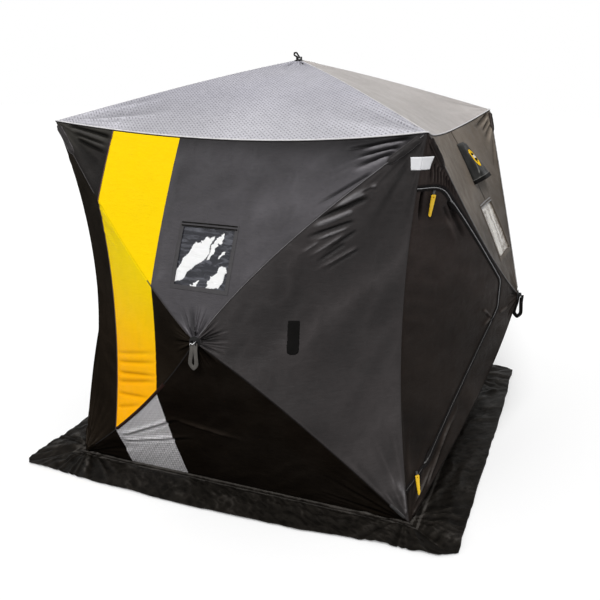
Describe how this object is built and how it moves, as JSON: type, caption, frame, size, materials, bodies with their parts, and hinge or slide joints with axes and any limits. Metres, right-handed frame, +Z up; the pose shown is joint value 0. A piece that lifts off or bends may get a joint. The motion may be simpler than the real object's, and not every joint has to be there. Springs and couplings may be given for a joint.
{
  "type": "ice fishing shelter",
  "caption": "Square pop-up shelter for ice fishing with bowed cloth walls, a low silver roof, a zipped door that swings, windows and a loose skirt on the ice.",
  "frame": {"origin": "on the ice at the centre of the square base", "axes": "+Z up, the wall with the yellow band faces -Y, the wall with the door faces +X"},
  "size_m": [2.4814, 2.4814, 2.1037],
  "materials": {
    "black_cloth": "quilted polyester with a faint sheen",
    "black_trim": "woven webbing",
    "boot_rubber": "matte",
    "clear_vinyl": "clear, slightly wrinkled",
    "hub_plastic": "moulded",
    "mesh": "open mesh",
    "reflective_patch": "reflective",
    "rod_black": "satin fibreglass",
    "silver_cloth": "woven polyester with a small basket pattern",
    "skirt_cloth": "coated nylon with a satin sheen",
    "slider_metal": "satin",
    "yellow_cloth": "polyester",
    "yellow_rubber": "satin",
    "yellow_webbing": "woven webbing"
  },
  "bodies": {
    "shelter": {"back_left_panel": "black_cloth", "back_lower_panel": "black_cloth", "back_right_panel": "black_cloth", "back_upper_panel": "black_cloth", "corner_patches": "reflective_patch", "door_surround": "black_cloth", "door_wall_lower_panel": "black_cloth", "door_wall_right_panel": "black_cloth", "door_wall_upper_panel": "black_cloth", "fastening_strip": "black_trim", "front_left_panel": "black_cloth", "front_lower_panel": "black_cloth", "front_right_panel": "black_cloth", "front_upper_panel": "black_cloth", "hub_caps": "hub_plastic", "hub_straps": "black_trim", "left_left_panel": "black_cloth", "left_lower_panel": "black_cloth", "left_right_panel": "black_cloth", "left_upper_panel": "black_cloth", "roof_back_panel": "silver_cloth", "roof_front_panel": "silver_cloth", "roof_hub": "hub_plastic", "roof_left_panel": "silver_cloth", "roof_right_panel": "silver_cloth", "roof_rod_boots": "boot_rubber", "roof_rods": "rod_black", "silver_band_foot": "silver_cloth", "snow_skirt": "skirt_cloth", "vent_hoods": "black_cloth", "vent_loops": "yellow_webbing", "vent_screens": "mesh", "wall_hubs": "hub_plastic", "wall_rod_boots": "boot_rubber", "wall_rods": "rod_black", "wall_zip_tape": "black_trim", "window_frames": "black_trim", "window_panes": "clear_vinyl", "yellow_band_side": "yellow_cloth", "yellow_band_upper": "yellow_cloth"},
    "door": {"door_panel": "black_cloth", "door_zip_tape": "black_trim", "zip_sliders": "slider_metal", "zip_pulls": "yellow_rubber"}
  },
  "joints": [
    {"name": "door_hinge", "type": "hinge", "parent": "shelter", "child": "door", "pos_m": [0.8508, -0.8508, 1.531], "axis": [0.0153, -0.0153, -0.9998], "range_deg": [0, 100]}
  ]
}
